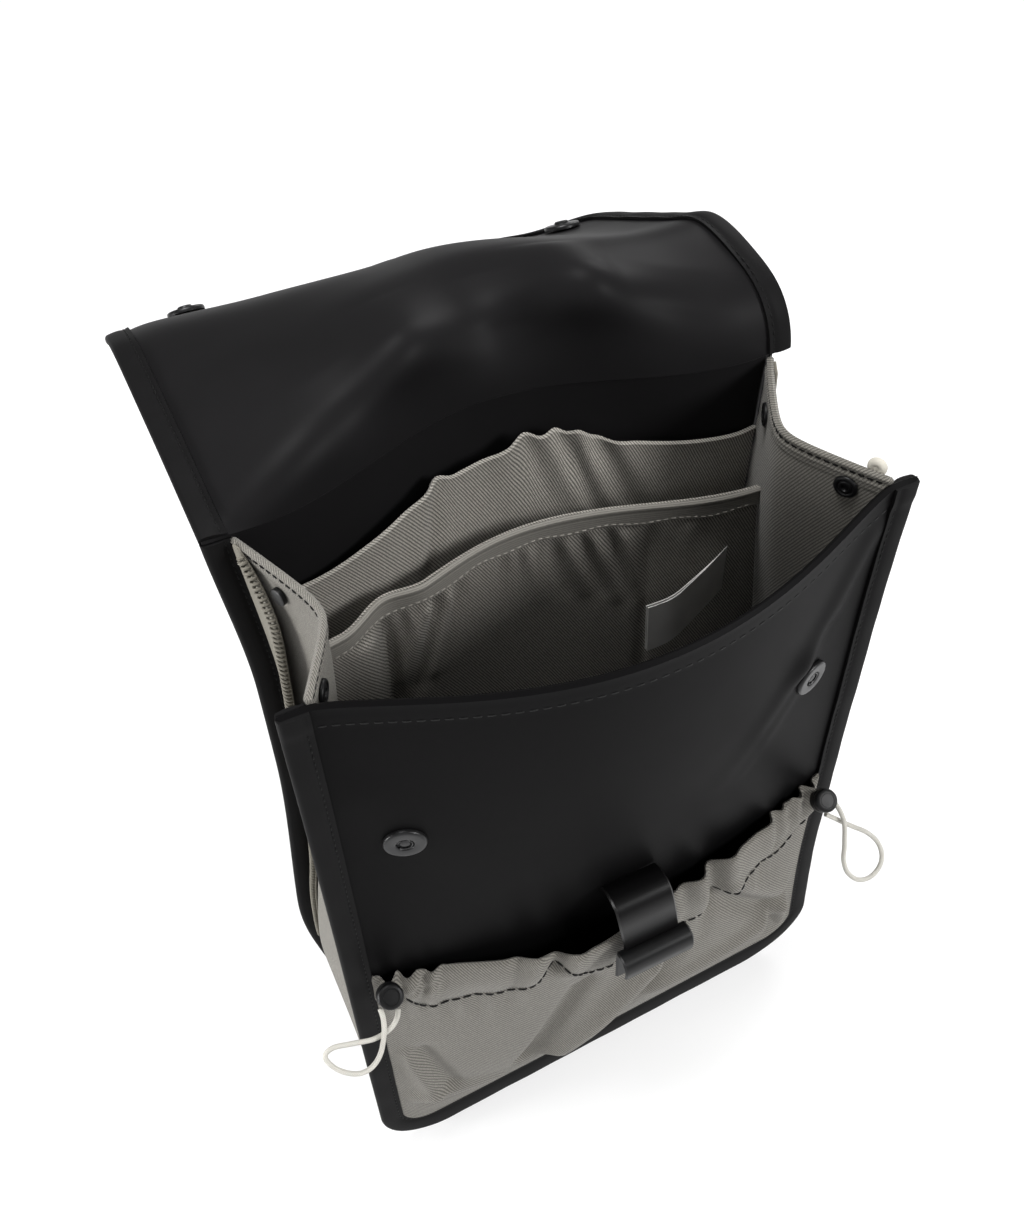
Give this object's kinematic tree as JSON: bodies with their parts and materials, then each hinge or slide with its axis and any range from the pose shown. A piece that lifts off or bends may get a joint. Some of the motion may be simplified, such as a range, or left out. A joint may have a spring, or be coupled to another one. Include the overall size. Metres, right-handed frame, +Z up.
{
  "type": "mini backpack",
  "caption": "Slim open-topped backpack with a thrown-back flap, bound coated panels, folding cloth sides, inside pockets and a gathered front pocket with cord locks.",
  "frame": {"origin": "on the floor, at the middle of the flat base", "axes": "+Z up, the front with its gathered pocket faces -Y, +X to the viewer's right of the front"},
  "size_m": [0.2961, 0.326, 0.4386],
  "materials": {
    "coated_fabric": "matte black coated fabric with a fine weave",
    "binding_tape": "black grosgrain tape with a stitched edge",
    "woven_cloth": "grey twill, soft and matte",
    "elastic_trim": "pale ribbed elastic",
    "zip_tape": "pale zip tape with coil teeth",
    "snap_metal": "black lacquered press studs with worn rims",
    "black_plastic": "moulded black plastic, satin",
    "elastic_cord": "off-white braided cord",
    "label_cloth": "blank white satin label",
    "strap_webbing": "black flat webbing"
  },
  "bodies": {
    "root": {"front_panel": "coated_fabric", "front_binding": "binding_tape", "back_panel": "coated_fabric", "back_binding": "binding_tape", "gusset": "woven_cloth", "gusset_stud_left_front": "black_plastic", "gusset_stud_left_back": "black_plastic", "gusset_stud_right_front": "black_plastic", "gusset_stud_right_back": "black_plastic", "zip_left": "zip_tape", "zip_right": "zip_tape", "zip_end_right": "elastic_trim", "flap": "coated_fabric", "flap_binding": "binding_tape", "front_pocket": "woven_cloth", "laptop_sleeve": "woven_cloth", "organiser_pocket": "woven_cloth", "organiser_trim": "elastic_trim", "care_label": "label_cloth", "front_snap_left": "snap_metal", "front_snap_right": "snap_metal", "flap_snap_left": "snap_metal", "flap_snap_right": "snap_metal", "closure_strap": "coated_fabric", "closure_hook": "black_plastic", "cord_lock_left": "black_plastic", "cord_lock_right": "black_plastic", "cord_loop_left": "elastic_cord", "cord_loop_right": "elastic_cord", "shoulder_strap_left": "coated_fabric", "shoulder_strap_right": "coated_fabric", "strap_webbing_left": "strap_webbing", "strap_webbing_right": "strap_webbing"}
  },
  "joints": []
}
